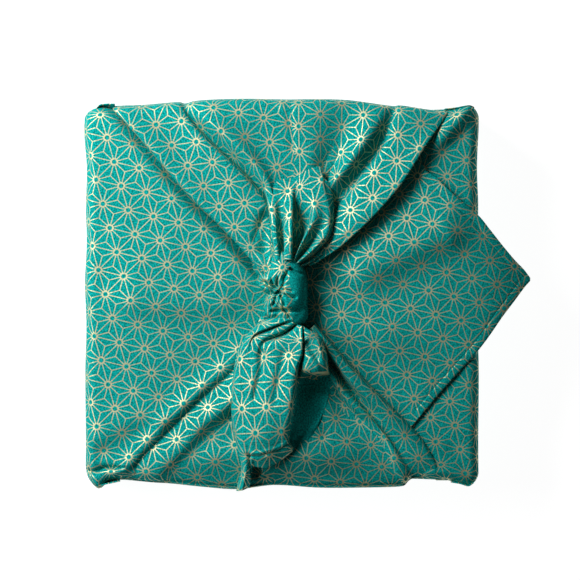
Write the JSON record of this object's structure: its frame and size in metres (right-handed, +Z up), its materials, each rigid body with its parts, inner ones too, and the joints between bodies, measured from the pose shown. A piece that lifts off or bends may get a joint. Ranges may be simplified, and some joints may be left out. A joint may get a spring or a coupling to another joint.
{
  "type": "furoshiki wrapped parcel",
  "caption": "Square cotton cloth folded round a flat box: one flap's corner overhangs the side, and the other two corners are tied on top in a knot with two ears.",
  "frame": {"origin": "middle of the flat base that the parcel rests on", "axes": "+Z up out of the knot, +X to the side that the loose flap corner overhangs, +Y to the side that the shorter ear of the knot points to"},
  "size_m": [0.2398, 0.2093, 0.0697],
  "materials": {
    "printed_cotton": "matte plain-weave cotton with a hemp-leaf lattice in gold foil"
  },
  "bodies": {
    "root": {"furoshiki_wrap": "printed_cotton"}
  },
  "joints": []
}
